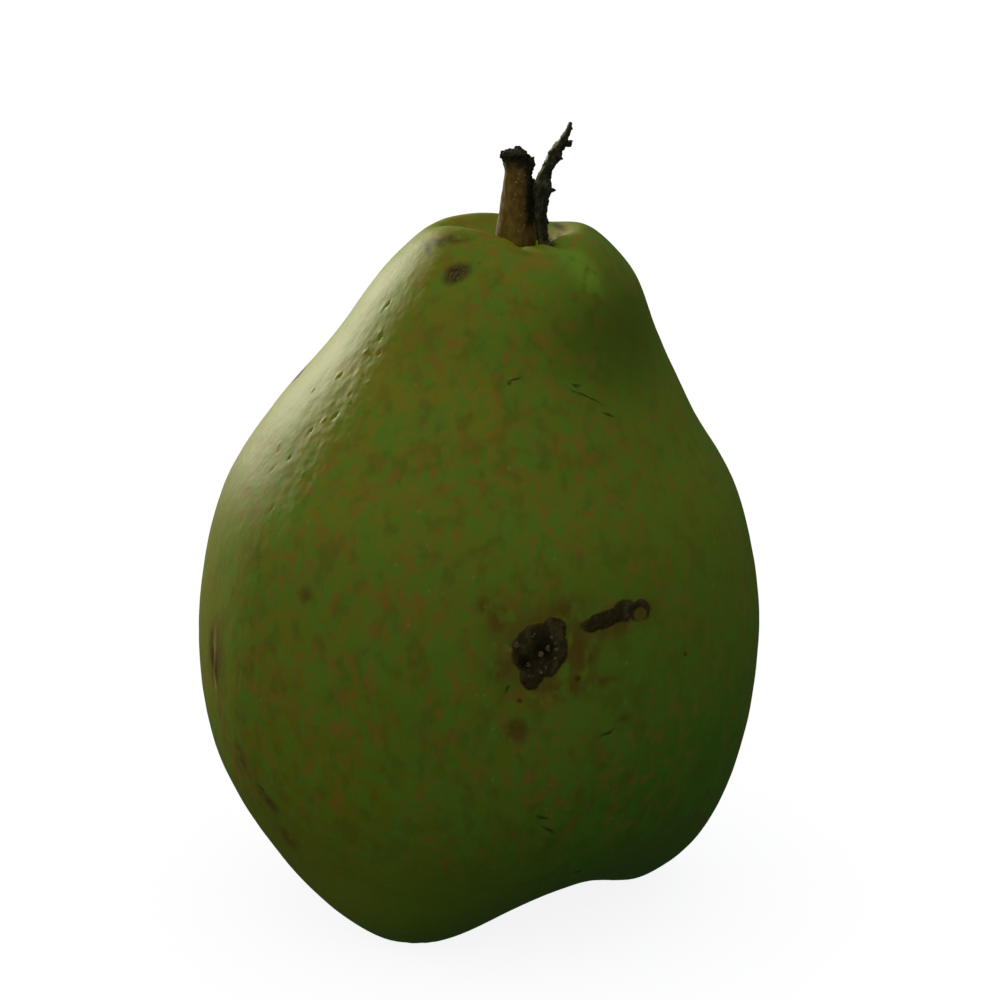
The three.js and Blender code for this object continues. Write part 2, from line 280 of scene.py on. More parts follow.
def fruitPoints(angle, ring):
    z = ringValue(0, ring, 1)
    radius = 0
    for side in range(4):
        away = angle - side * math.pi / 2
        # each side's distance holds in its own direction, and the four shares add up to 1
        share = (1 + 2 * np.cos(away) + np.cos(2 * away)) / 4
        radius = radius + share * ringValue(1 + side, ring, -1)
    fade = np.minimum(1, np.minimum(ring, len(fruit["rings"]) - 1 - ring))
    for at, spread, middle, reach, out, up in fruit["swells"]:
        away = (np.degrees(angle) - at + 180) % 360 - 180
        bell = np.exp(-(away / spread) ** 2 - ((ring - middle) / reach) ** 2)
        radius = radius + out * bell * fade
        z = z + up * bell * fade
    coreX, coreY = corePlace(z)
    return np.stack([coreX + radius * np.cos(angle), coreY + radius * np.sin(angle), z], axis=-1)


def closedFaces(ringCount, sides):
    # rings listed bottom to top, then one point under the first and one over the last
    faces = []
    bottom = ringCount * sides
    for side in range(sides):
        after = (side + 1) % sides
        faces.append((bottom, after, side))
        for ring in range(ringCount - 1):
            low = ring * sides
            faces.append((low + side, low + after, low + sides + after, low + sides + side))
        top = (ringCount - 1) * sides
        faces.append((bottom + 1, top + side, top + after))
    return faces


def spreadOut(values, weights, count):
    # picks a number of the values, closer together where the weights are high
    filled = np.concatenate([[0], np.cumsum(weights[1:])])
    return np.interp(np.linspace(0, filled[-1], count), filled, values)


def closeness(values, middle, reach, gain):
    return 1 + gain * np.exp(-((values - middle) / reach) ** 2)


def buildFruit():
    lastRing = len(fruit["rings"]) - 1
    turns = np.linspace(fruit["seam"] - 360, fruit["seam"], fruit["trials"])
    turns = spreadOut(turns, closeness(turns, *fruit["fineAngle"]), fruit["columns"] + 1)[:-1]
    fine = np.linspace(0, lastRing, fruit["trials"])
    leftLine = fruitPoints(np.full_like(fine, math.radians(fruit["fineAngle"][0])), fine)
    steps = np.linalg.norm(np.diff(leftLine, axis=0, prepend=leftLine[:1]), axis=1)
    weights = steps * closeness(leftLine[:, 2], *fruit["fineHeight"])
    rings = spreadOut(fine, weights, fruit["rows"] + 2)[1:-1][::-1]
    grid = fruitPoints(*np.meshgrid(np.radians(turns), rings))
    ends = fruitPoints(np.zeros(2), np.array([lastRing, 0.0]))
    points = np.concatenate([grid.reshape(-1, 3), ends])
    return newObject("fruitSkin", points, closedFaces(len(rings), fruit["columns"]))


fruitSkin = buildFruit()
fruitTree = BVHTree.FromObject(fruitSkin, bpy.context.evaluated_depsgraph_get())
print("fruit shaped:", len(fruitSkin.data.polygons), "faces")


def skinPlace(angle, height, fromInside=False):
    # the skin point at an angle round the core and a height, and the way the skin faces there
    core = Vector((*corePlace(height), height))
    outward = Vector((math.cos(math.radians(angle)), math.sin(math.radians(angle)), 0))
    if fromInside:  # the wall of the stem hollow
        point, normal, _, _ = fruitTree.ray_cast(core, outward)
    else:
        point, normal, _, _ = fruitTree.ray_cast(core + outward * fruit["outside"], -outward)
    return point, normal


def skinAxes(angle, height, turn, fromInside=False):
    # across the skin, up the skin and out of it, turned in the skin's plane
    point, out = skinPlace(angle, height, fromInside)
    across = Vector((0, 0, 1)).cross(out).normalized()
    up = out.cross(across)
    lean = math.radians(turn)
    along = across * math.cos(lean) + up * math.sin(lean)
    over = out.cross(along)
    return point, Matrix((along, over, out)).transposed()


def markReach(points, mark, fromInside=False):
    # how far points lie from a mark's middle, as a share of its size: 1 at its edge
    angle, height, halfWidth, halfHeight, turn = mark[:5]
    point, axes = skinAxes(angle, height, turn, fromInside)
    local = (points - np.array(point)) @ np.array(axes)
    sizes = np.array([halfWidth, halfHeight, max(halfWidth, halfHeight)])
    return np.linalg.norm(local / sizes, axis=1)


def zoneShare(points, zones, fromInside=False):
    share = np.zeros(len(points))
    for zone in zones:
        reach = markReach(points, zone, fromInside)
        share = np.maximum(share, smoothStep(1 + zone[5], 1 - zone[5], reach))
    return share


def roughenSkin(thing):
    points = places(thing.data)
    outward = normalsOf(thing.data)
    at, reach, height, rise = fruit["roughStrip"]
    turn = np.degrees(np.arctan2(points[:, 1], points[:, 0] - fruit["coreTop"][0]))
    strip = np.exp(-((turn - at) / reach) ** 2 - ((points[:, 2] - height) / rise) ** 2)
    relief = unevenness(points, fruit["lumps"]) + strip * unevenness(points, fruit["stripLumps"])
    for dent in dents:
        relief -= dent[5] * np.exp(-fruit["dentSteepness"] * markReach(points, dent) ** 2)
    fade = smoothStep(0, fruit["lowestRelief"], points[:, 2])
    points = points + outward * (relief * fade)[:, None]
    points[:, 2] = np.maximum(points[:, 2], 0)
    putPlaces(thing.data, points)


roughenSkin(fruitSkin)
fruitTree = BVHTree.FromObject(fruitSkin, bpy.context.evaluated_depsgraph_get())
print("skin roughened")


# The skin's finish

skin = {
    "green": "#5f8f2e",  # the shaded lower right
    "yellow": "#9b9a38",  # the upper left
    "ripeMiddle": 0.6,  # share of yellow in the middle of the front
    "ripeAcross": -0.0095,  # its change for each millimetre to the right
    "ripeUp": ([5, 20, 45, 60, 90], [-0.5, -0.4, 0.0, 0.0, 0.36]),  # heights, and the change there
    "ripeDrift": [(0.25, 18, 31.0, 1.0)],
    "paintedNeckShade": 0.45,  # painted shade: taken from it on the right side of the neck, which comes out greener and darker
    "neckAcross": (4, 14),  # where that starts and is full, to the right and up
    "neckUp": (68, 78),
    "evenLow": 0.75,  # share of the mottling lost near the feet
    "evenLowUp": (28, 8),  # heights where that starts and is full
    "evenRight": 0.45,  # and on the right side
    "evenRightAcross": (6, 28),
    "patch": "#6ea03c",
    "blotch": "#6c6a2a",
    "russet": "#a28240",
    "halo": "#75602f",
    # painted shade: the olive of the neck under the right lobe
    "neckShadeOlive": "#56651f",
    "deepOlive": "#80840c",
    # painted highlight: brighter green where the top of the right lobe faces the light
    "litLobeGreen": "#86b244",
    "smudge": "#5d5138",
    # painted shade in the folds of the stem hollow
    "fold": "#3d3320",
    "lip": "#b5a874",
    "paleSpeck": "#b9b67c",
    "darkSpeck": "#4d5420",
    "gritDark": "#453e28",
    "gritPale": "#716a4e",
    "scratch": "#3f3a1a",
    "scabRim": "#4f3c24",
    "scab": "#41382a",
    "scabGrey": "#5a5546",
    "scabBlack": "#1a170f",
    "roughness": 0.56,
    "scabRoughness": 0.8,
    "ior": 1.45,  # plant wax
    "glossLevel": 0.2,
    "patternShift": 17.0,  # from one soft pattern to the next, so that no two coincide
    "patternDrawn": 0.7,  # their scale along Z: a little drawn out along the pear, as it grew
    "speckEdge": (1.6, 0.4),  # where a speck starts and is full, for each radius
    "chosenEdge": 0.05,  # softness of the choice between cells with a speck and without
    "raggedSize": 1.4,  # how wide and how strong the unevenness of the marks' edges is
    "raggedDetail": 3.0,
    "ragged": 0.96,
    "nickStrength": 0.75,
    "scabRimEdge": (0.05, 0.4),  # shares of a scab where its rim starts and is full
    "scabBodyEdge": (0.5, 0.9),
}

# Soft patterns: grain size, detail, where a patch starts and is full, strength
skinPatterns = {
    "greenPatches": (4.2, 3, 0.44, 0.62, 0.6),
    "greenFlecks": (1.3, 2, 0.43, 0.66, 0.68),
    "blotches": (2.4, 3, 0.48, 0.68, 0.42),
    "russetClouds": (7.0, 2, 0.36, 0.56, 1.0),
    "russetFlecks": (1.5, 3, 0.45, 0.7, 0.82),
    "breaks": (1.6, 3, 0.28, 0.52, 1.0),
    "grit": (0.34, 1, 0.42, 0.6, 1.0),
    "greyClouds": (1.2, 2, 0.46, 0.62, 0.8),
    "swellings": (2.6, 2, 0.0, 1.0, 1.0),
    "pores": (0.7, 3, 0.0, 1.0, 1.0),
}

# Specks in some cells of a loose net: cell size, radius, share of the cells left out, strength
skinSpecks = {
    "paleSpecks": (2.4, 0.2, 0.6, 0.36),
    "darkSpecks": (5.2, 0.2, 0.55, 0.6),
}

# Marks on the skin: angle and height of the middle, half width and half height, turn, softness
crispMarks = {
    "scabs": [
        (-83.4, 45.9, 3.35, 3.3, 10, 0.12),
        (-81.0, 48.0, 1.75, 1.7, 0, 0.15),
        (-85.1, 42.9, 1.4, 1.5, 0, 0.2),
        (-69.6, 48.8, 3.0, 1.0, 8, 0.25),
        (-64.9, 49.5, 1.5, 1.15, 0, 0.35),
        (-61.2, 49.1, 1.5, 1.3, 0, 0.2),
        (118.0, 61.0, 1.6, 1.1, 30, 0.2),
        (65.0, 33.0, 2.2, 1.3, -25, 0.2),
    ],
    "ringInside": [(-61.1, 48.65, 1.15, 1.0, 0, 0.45)],  # live skin at the end of the long scab
    "scabHearts": [(-83.0, 46.1, 1.5, 1.5, 0, 0.8), (-86.2, 44.6, 0.9, 1.1, 0, 0.8)],
    "nicks": [
        (-89.5, 41.3, 0.5, 0.16, 55, 0.6),
        (-87.0, 39.7, 0.33, 0.25, 0, 0.8),
        (-75.5, 41.9, 0.38, 0.3, 20, 0.8),
        (-69.0, 34.2, 0.85, 0.16, 20, 0.8),
        (-81.0, 23.4, 0.8, 0.2, -20, 0.8),
        (-79.5, 21.4, 1.0, 0.18, -35, 0.8),
        (-68.5, 12.6, 0.4, 0.2, 0, 0.8),
        (-90.9, 76.2, 0.75, 0.14, 15, 0.6),
        (-92.4, 75.8, 0.22, 0.24, 0, 0.6),
        (-49.0, 41.9, 0.15, 0.3, 0, 0.8),
        (-69.3, 75.0, 0.5, 0.22, -20, 0.7),
        (-65.8, 73.6, 2.2, 0.09, -33, 0.9),
        (-59.6, 71.3, 0.8, 0.2, -33, 0.7),
        (140.0, 48.0, 2.6, 0.15, 20, 0.7),
        (38.0, 57.0, 2.2, 0.15, -50, 0.7),
    ],
    "grittySpots": [
        (-124.2, 87.4, 1.7, 1.3, 42, 0.5),
        (175.0, 70.0, 1.8, 1.2, 20, 0.5),
    ],
}

# Soft zones, held as values at the mesh's vertices: the same six numbers
softZones = {
    "evenShare": [  # evenly pale from the sun
        (-172.0, 75.0, 14.0, 20.0, 0, 0.6),
        (-168.0, 48.0, 9.0, 16.0, 0, 0.8),
        (130.0, 86.0, 14.0, 8.0, 0, 0.6),
    ],
    "deepShare": [(-140.0, 26.0, 22.0, 17.0, 0, 0.9), (-164.0, 50.0, 10.0, 14.0, 0, 0.9)],
    "haloShare": [
        (-75.6, 45.5, 2.0, 4.4, 0, 0.9),
        (-73.3, 44.7, 1.2, 2.6, 0, 0.9),
        (-78.8, 50.4, 3.4, 1.6, 10, 0.9),
        (-78.8, 41.2, 4.4, 1.8, 0, 0.9),
        (-70.8, 41.1, 2.4, 0.7, 0, 0.7),
        (-67.0, 48.4, 4.4, 1.9, 12, 0.5),
        (-61.2, 48.9, 1.7, 1.5, 0, 0.6),
        (-91.2, 44.1, 1.7, 1.6, 0, 0.7),
        (-92.3, 49.8, 1.2, 2.0, 0, 0.7),
        (-95.0, 51.6, 0.9, 1.1, 0, 0.7),
        (-87.5, 35.9, 1.8, 1.6, 0, 0.5),
        (-65.0, 35.8, 1.0, 0.6, 0, 0.7),
        (-138.5, 16.1, 1.4, 1.8, 0, 0.8),
        (-157.6, 37.4, 2.4, 4.4, 0, 0.8),
        (-83.6, 45.9, 5.4, 5.2, 10, 0.9),
        (-131.5, 50.5, 1.0, 1.0, 0, 0.8),
        (-148.0, 25.5, 0.8, 2.4, 30, 0.8),
        (-140.6, 20.9, 2.0, 0.9, -30, 0.8),
        (65.0, 33.0, 4.2, 3.0, -25, 0.8),
        (118.0, 61.0, 2.6, 2.2, 30, 0.8),
    ],
    "russetShare": [(-81.0, 88.5, 2.2, 1.4, 0, 0.8)],
    "smudgeShare": [
        (-139.0, 90.7, 1.9, 0.7, 15, 0.8),
        (-148.0, 90.0, 1.3, 0.45, -10, 0.8),
        (-154.0, 89.2, 1.5, 0.5, -25, 0.8),
        (-159.6, 38.6, 0.9, 2.2, 0, 0.7),
        (-157.2, 35.6, 0.6, 1.8, 0, 0.8),
        (-143.2, 22.2, 0.9, 0.55, 20, 0.5),
        (-140.8, 21.0, 1.0, 0.35, -30, 0.8),
    ],
    "lipShare": [(-158.2, 37.6, 0.5, 3.0, 0, 0.7), (-157.6, 33.6, 0.4, 1.6, 0, 0.7)],
    # painted highlight: brighter green where the top of the right lobe faces the light
    "litLobeShare": [(-52.0, 87.5, 2.2, 3.6, 0, 0.7)],
    # painted shade on the right of the neck, under the right lobe
    "neckShadeShare": [(-40.0, 79.5, 9.0, 7.0, 0, 0.8)],
    "grainShare": [  # where cork crumbs lie
        (-83.2, 45.9, 3.0, 2.9, 10, 0.1),
        (-81.0, 48.0, 1.4, 1.3, 0, 0.1),
        (-69.4, 48.9, 2.4, 0.6, 8, 0.1),
    ],
}

# The same on the wall of the stem hollow: painted shade in its dark folds, and a painted
# highlight, pale, where the light falls on the wall
hollowZones = {
    "foldShadeShare": [
        (-42.0, 88.6, 1.5, 0.4, 20, 0.6),
        (-30.0, 89.2, 1.2, 0.4, 10, 0.7),
        (2.0, 88.7, 1.8, 0.4, 0, 0.7),
        (24.0, 88.2, 1.5, 0.4, 0, 0.7),
        (43.0, 89.3, 2.0, 0.4, 0, 0.8),
    ],
    # painted highlight: the pale part of the wall that the light falls on
    "litWallShare": [(6.0, 89.2, 4.0, 1.6, 0, 0.8)],
}

zoneStrength = {"evenShare": 0.75, "neckShadeShare": 0.6, "deepShare": 0.6, "haloShare": 0.9,
                "russetShare": 0.6, "litWallShare": 0.45}  # the others are full

# Relief of the patterns and marks that is too fine for the mesh, in millimetres
skinRelief = {"swellings": 0.08, "pores": 0.02, "crust": 0.3, "openScab": 0.06, "nicks": -0.08}


def holdZones(thing):
    points = places(thing.data)
    share = {}
    for group, fromInside in ((softZones, False), (hollowZones, True)):
        for name, zones in group.items():
            share[name] = zoneShare(points, zones, fromInside) * zoneStrength.get(name, 1.0)
    low = skin["evenLow"] * smoothStep(*skin["evenLowUp"], points[:, 2])
    right = skin["evenRight"] * smoothStep(*skin["evenRightAcross"], points[:, 0])
    share["evenShare"] = np.maximum(share["evenShare"], np.maximum(low, right))
    for name, values in share.items():
        addValues(thing.data, name, values)
    ripenessAndNeckShade = (skin["ripeMiddle"] + skin["ripeAcross"] * points[:, 0]
                + np.interp(points[:, 2], *skin["ripeUp"]) + unevenness(points, skin["ripeDrift"]))
    # painted shade on the right of the neck: the skin is made greener and darker there
    rightOfNeck = smoothStep(*skin["neckAcross"], points[:, 0])
    ripenessAndNeckShade -= skin["paintedNeckShade"] * rightOfNeck * smoothStep(*skin["neckUp"], points[:, 2])
    addValues(thing.data, "ripenessAndNeckShade", np.clip(ripenessAndNeckShade, 0, 1))


def markMask(tree, place, mark):
    angle, height, halfWidth, halfHeight, turn, softness = mark
    point, axes = skinAxes(angle, height, turn)
    local = addNode(tree, "ShaderNodeMapping", {"vector_type": "TEXTURE"}, {
        "Vector": place,
        "Location": point,
        "Rotation": axes.to_euler(),
        "Scale": (halfWidth, halfHeight, max(halfWidth, halfHeight)),
    })
    away = addNode(tree, "ShaderNodeVectorMath", {"operation": "LENGTH"}, {0: local}, "Value")
    return addNode(tree, "ShaderNodeMapRange", {"interpolation_type": "SMOOTHSTEP"}, {
        "Value": away, "From Min": 1 + softness, "From Max": 1 - softness})


def marksMask(tree, place, marks):
    # the strongest of several marks
    strongest = markMask(tree, place, marks[0])
    for mark in marks[1:]:
        strongest = addNode(tree, "ShaderNodeMath", {"operation": "MAXIMUM"},
                            {0: strongest, 1: markMask(tree, place, mark)})
    return strongest


def skinMaterial():
    # living pear skin: a thin waxy cuticle over green flesh, so the colour is deep and mottled,
    # and a pale gloss shows only where light grazes it
    material, tree = newMaterial("waxyPearSkin")
    objectPlace = addNode(tree, "ShaderNodeTexCoord", output="Object")
    place = addNode(tree, "ShaderNodeVectorMath", {"operation": "SCALE"},
                    {0: objectPlace, "Scale": 1 / mm})
    share = {}
    for shift, (name, pattern) in enumerate(skinPatterns.items()):
        grain, detail, start, full, strength = pattern
        moved = addNode(tree, "ShaderNodeMapping", None, {
            "Vector": place, "Location": (skin["patternShift"] * shift,) * 3,
            "Scale": (1, 1, skin["patternDrawn"])})
        cloud = addNode(tree, "ShaderNodeTexNoise", None,
                        {"Vector": moved, "Scale": 1 / grain, "Detail": float(detail)})
        share[name] = addNode(tree, "ShaderNodeMapRange", {"interpolation_type": "SMOOTHSTEP"}, {
            "Value": cloud, "From Min": start, "From Max": full, "To Max": strength})
    for name, (cell, radius, leftOut, strength) in skinSpecks.items():
        net = {"Vector": place, "Scale": 1 / cell}
        away = addNode(tree, "ShaderNodeTexVoronoi", None, net, "Distance")
        lot = addNode(tree, "ShaderNodeTexVoronoi", None, net, "Color")
        chosen = addNode(tree, "ShaderNodeMapRange", None, {
            "Value": lot, "From Min": leftOut, "From Max": leftOut + skin["chosenEdge"],
            "To Max": strength})
        start, full = (edge * radius / cell for edge in skin["speckEdge"])
        dot = addNode(tree, "ShaderNodeMapRange", {"interpolation_type": "SMOOTHSTEP"}, {
            "Value": away, "From Min": start, "From Max": full})
        share[name] = addNode(tree, "ShaderNodeMath", {"operation": "MULTIPLY"},
                              {0: dot, 1: chosen})
    for name in ("ripenessAndNeckShade", *hollowZones, *softZones):
        share[name] = addNode(tree, "ShaderNodeAttribute", {"attribute_name": name}, output="Fac")

    # marks, with uneven edges
    wobble = addNode(tree, "ShaderNodeTexNoise", None, {
        "Vector": place, "Scale": 1 / skin["raggedSize"], "Detail": skin["raggedDetail"]}, "Color")
    wander = addNode(tree, "ShaderNodeVectorMath", {"operation": "SUBTRACT"},
                     {0: wobble, 1: (0.5, 0.5, 0.5)})
    ragged = addNode(tree, "ShaderNodeVectorMath", {"operation": "MULTIPLY_ADD"},
                     {0: wander, 1: (skin["ragged"],) * 3, 2: place})
    for name, marks in crispMarks.items():
        share[name] = marksMask(tree, ragged, marks)
    for name, opposite in (("outsideRing", "ringInside"), ("mottled", "evenShare")):
        share[name] = addNode(tree, "ShaderNodeMath", {"operation": "SUBTRACT"},
                              {0: 1.0, 1: share[opposite]})
    for name, first, second in (
            ("patchTint", "greenPatches", "mottled"),
            ("greenTint", "greenFlecks", "mottled"),
            ("blotchTint", "blotches", "mottled"),
            ("fleckShare", "russetFlecks", "mottled"),
            ("fleckTint", "fleckShare", "russetClouds"),
            ("haloTint", "haloShare", "breaks"),
            ("russetTint", "russetShare", "breaks"),
            ("smudgeTint", "smudgeShare", "breaks"),
            ("litLobeTint", "litLobeShare", "breaks"),
            ("lipTint", "lipShare", "breaks"),
            ("nickTint", "nicks", skin["nickStrength"]),
            ("paleGrit", "grittySpots", "grit"),
            ("openScab", "scabs", "outsideRing"),
            ("greyScab", "openScab", "greyClouds"),
            ("blackScab", "openScab", "scabHearts"),
            ("crust", "openScab", "pores")):
        share[name] = addNode(tree, "ShaderNodeMath", {"operation": "MULTIPLY"},
                              {0: share[first], 1: share.get(second, second)})
    for name in ("scabRim", "scabBody"):
        start, full = skin[name + "Edge"]
        share[name] = addNode(tree, "ShaderNodeMapRange", None, {
            "Value": share["openScab"], "From Min": start, "From Max": full})

    colour = addNode(tree, "ShaderNodeMix", {"data_type": "RGBA"}, {
        0: share["ripenessAndNeckShade"], 6: linearColour(skin["green"]), 7: linearColour(skin["yellow"])}, 2)
    # the neck's olive and the folds' dark colour are painted shade; the bright green on the right
    # lobe and the pale patch on the hollow's wall are painted highlights
    for name, tint in (
            ("deepShare", "deepOlive"), ("patchTint", "patch"), ("greenTint", "patch"),
            ("blotchTint", "blotch"), ("litWallShare", "lip"), ("fleckTint", "russet"),
            ("neckShadeShare", "neckShadeOlive"), ("litLobeTint", "litLobeGreen"), ("paleSpecks", "paleSpeck"),
            ("darkSpecks", "darkSpeck"), ("russetTint", "russet"), ("haloTint", "halo"),
            ("smudgeTint", "smudge"), ("foldShadeShare", "fold"), ("lipTint", "lip"),
            ("grittySpots", "gritDark"), ("paleGrit", "gritPale"), ("nickTint", "scratch"),
            ("scabRim", "scabRim"), ("scabBody", "scab"), ("greyScab", "scabGrey"),
            ("blackScab", "scabBlack")):
        colour = addNode(tree, "ShaderNodeMix", {"data_type": "RGBA"},
                         {0: share[name], 6: colour, 7: linearColour(skin[tint])}, 2)

    height = 0.0
    for name, rise in skinRelief.items():
        height = addNode(tree, "ShaderNodeMath", {"operation": "MULTIPLY_ADD"},
                         {0: share[name], 1: rise, 2: height})
    bump = addNode(tree, "ShaderNodeBump", None,
                   {"Strength": 1.0, "Distance": mm, "Height": height})
    matt = addNode(tree, "ShaderNodeMath", {"operation": "MAXIMUM"},
                   {0: share["openScab"], 1: share["grittySpots"]})
    roughness = addNode(tree, "ShaderNodeMapRange", None, {
        "Value": matt, "To Min": skin["roughness"], "To Max": skin["scabRoughness"]})
    shader = addNode(tree, "ShaderNodeBsdfPrincipled", None, {
        "Base Color": colour, "Roughness": roughness, "Normal": bump,
        "IOR": skin["ior"], "Specular IOR Level": skin["glossLevel"]})
    addNode(tree, "ShaderNodeOutputMaterial", None, {"Surface": shader})
    return material


# Grains that sit on a surface

grainShape = {
    "radius": 0.5,  # before each grain's size scales it
    "subdivisions": 2,
    "bendScale": 2.6,  # how close the bends lie that make the grains uneven
    "bendDetail": 1.0,
}

# Cork, warts and bark are porous: they have wood's usual IOR, and little gloss
dryFinish = {"IOR": 1.5, "Specular IOR Level": 0.3}


def grainTree():
    # closed grains scattered on a surface, most where a named share is high
    tree = bpy.data.node_groups.new("scatteredGrains", "GeometryNodeTree")
    for name, kind in (("Surface", "Geometry"), ("Share name", "String"), ("Density", "Float"),
                       ("Least size", "Float"), ("Greatest size", "Float"),
                       ("Flatness", "Float"), ("Unevenness", "Float"), ("Seed", "Int"),
                       ("Material", "Material")):
        tree.interface.new_socket(name=name, in_out="INPUT", socket_type="NodeSocket" + kind)
    tree.interface.new_socket(name="Grains", in_out="OUTPUT", socket_type="NodeSocketGeometry")
    given = tree.nodes.new("NodeGroupInput").outputs
    share = addNode(tree, "GeometryNodeInputNamedAttribute", {"data_type": "FLOAT"},
                    {"Name": given["Share name"]})
    density = addNode(tree, "ShaderNodeMath", {"operation": "MULTIPLY"},
                      {0: share, 1: given["Density"]})
    scatter = tree.nodes.new("GeometryNodeDistributePointsOnFaces")
    tree.links.new(given["Surface"], scatter.inputs["Mesh"])
    tree.links.new(density, scatter.inputs["Density"])
    tree.links.new(given["Seed"], scatter.inputs["Seed"])
    size = addNode(tree, "FunctionNodeRandomValue", {"data_type": "FLOAT"},
                   {2: given["Least size"], 3: given["Greatest size"], "Seed": given["Seed"]}, 1)
    thickness = addNode(tree, "ShaderNodeMath", {"operation": "MULTIPLY"},
                        {0: size, 1: given["Flatness"]})
    scale = addNode(tree, "ShaderNodeCombineXYZ", None, {"X": size, "Y": size, "Z": thickness})
    ball = addNode(tree, "GeometryNodeMeshIcoSphere", None, {
        "Radius": grainShape["radius"], "Subdivisions": grainShape["subdivisions"]})
    grains = addNode(tree, "GeometryNodeInstanceOnPoints", None, {
        "Points": scatter.outputs["Points"], "Instance": ball,
        "Rotation": scatter.outputs["Rotation"], "Scale": scale})
    solid = addNode(tree, "GeometryNodeRealizeInstances", None, {"Geometry": grains})
    bend = addNode(tree, "ShaderNodeTexNoise", None, {
        "Scale": grainShape["bendScale"], "Detail": grainShape["bendDetail"]}, "Color")
    push = addNode(tree, "ShaderNodeVectorMath", {"operation": "SUBTRACT"},
                   {0: bend, 1: (0.5, 0.5, 0.5)})
    push = addNode(tree, "ShaderNodeVectorMath", {"operation": "SCALE"},
                   {0: push, "Scale": given["Unevenness"]})
    uneven = addNode(tree, "GeometryNodeSetPosition", None, {"Geometry": solid, "Offset": push})
    finished = addNode(tree, "GeometryNodeSetMaterial", None,
                       {"Geometry": uneven, "Material": given["Material"]})
    out = tree.nodes.new("NodeGroupOutput")
    tree.links.new(finished, out.inputs["Grains"])
    return tree


grainNodes = grainTree()


def plainMaterial(name, colour, roughness):
    material, tree = newMaterial(name)
    shader = addNode(tree, "ShaderNodeBsdfPrincipled", None, {
        "Base Color": linearColour(colour), "Roughness": roughness, **dryFinish})
    addNode(tree, "ShaderNodeOutputMaterial", None, {"Surface": shader})
    return material


def addGrains(name, surface, materialName, values):
    # values by the tree's input names; the surface is still in millimetres
    material = plainMaterial(materialName, values["colour"], values["roughness"])
    thing = bpy.data.objects.new(name, surface.data.copy())
    bpy.context.scene.collection.objects.link(thing)
    scatter = thing.modifiers.new("grains", "NODES")
    scatter.node_group = grainNodes
    for socket in grainNodes.interface.items_tree:
        if socket.in_out == "INPUT" and socket.name in values:
            scatter[socket.identifier] = values[socket.name]
        elif socket.name == "Material":
            scatter[socket.identifier] = material
    bakeModifiers(thing)
    finishPiece(thing, material)


scabGrains = {  # sizes in millimetres, density for each square millimetre
    "Share name": "grainShare", "Density": 0.45, "Least size": 0.35, "Greatest size": 0.75,
    "Flatness": 0.4, "Unevenness": 0.9, "Seed": 4,
    "colour": "#75635a", "roughness": 0.85,
}

holdZones(fruitSkin)
# crumbs of dry cork: matt, chalky and paler than the scab under them
addGrains("corkGrains", fruitSkin, "paleCorkGrain", scabGrains)
finishPiece(fruitSkin, skinMaterial(), "fruit")
print("skin finished")


# Limbs: the stem and the twig

def smoothStations(stations, count):
    # more stations on a smooth line through the given ones, which goes on straight at both ends
    values = np.array(stations, float)
    steps = np.linspace(0, len(values) - 1, count)
    columns = [cubicThrough([2 * column[0] - column[1], *column, 2 * column[-1] - column[-2]],
                            steps) for column in values.T]
    return np.stack(columns, axis=1)


def limbMesh(stations, sides, count):
    smooth = smoothStations(stations, count)
    centres = smooth[:, :3]
    points = []
    for i, station in enumerate(smooth):
        along = Vector(centres[min(i + 1, count - 1)] - centres[max(i - 1, 0)]).normalized()
        across = Vector((0, 1, 0)).cross(along).normalized()
        deep = along.cross(across)
        for side in range(sides):
            angle = side / sides * 2 * math.pi
            points.append(Vector(centres[i]) + across * station[3] * math.cos(angle)
                          + deep * station[4] * math.sin(angle))
    points += [Vector(centres[0]), Vector(centres[-1])]
    return points, closedFaces(count, sides)


def growSolid(name, parts, voxel):
    # overlapping closed parts melt into one skin
    vertices, faces = [], []
    for points, polygons in parts:
        start = len(vertices)
        vertices += [tuple(p) for p in points]
        faces += [tuple(start + i for i in polygon) for polygon in polygons]
    thing = newObject(name, vertices, faces)
    melt = thing.modifiers.new("melt", "REMESH")
    melt.mode = "VOXEL"
    melt.voxel_size = voxel
    smooth = thing.modifiers.new("smooth", "SMOOTH")
    smooth.iterations = 2
    bakeModifiers(thing)
    return thing


burrShape = {
    "subdivisions": 3,
    "lumpScale": 1.6,  # lumps to a burr's half width
}


def burrMesh(x, y, z, wide, tall, seed, rough):
    ball = bmesh.new()
    bmesh.ops.create_icosphere(ball, subdivisions=burrShape["subdivisions"], radius=1.0)
    points = []
    for vertex in ball.verts:
        place = vertex.co * burrShape["lumpScale"] + Vector((seed, seed, 0))
        swell = 1 + rough * noise.noise(place)
        points.append(Vector((x + wide * vertex.co.x * swell, y + wide * vertex.co.y * swell,
                              z + tall * vertex.co.z * swell)))
    polygons = [[v.index for v in face.verts] for face in ball.faces]
    ball.free()
    return points, polygons


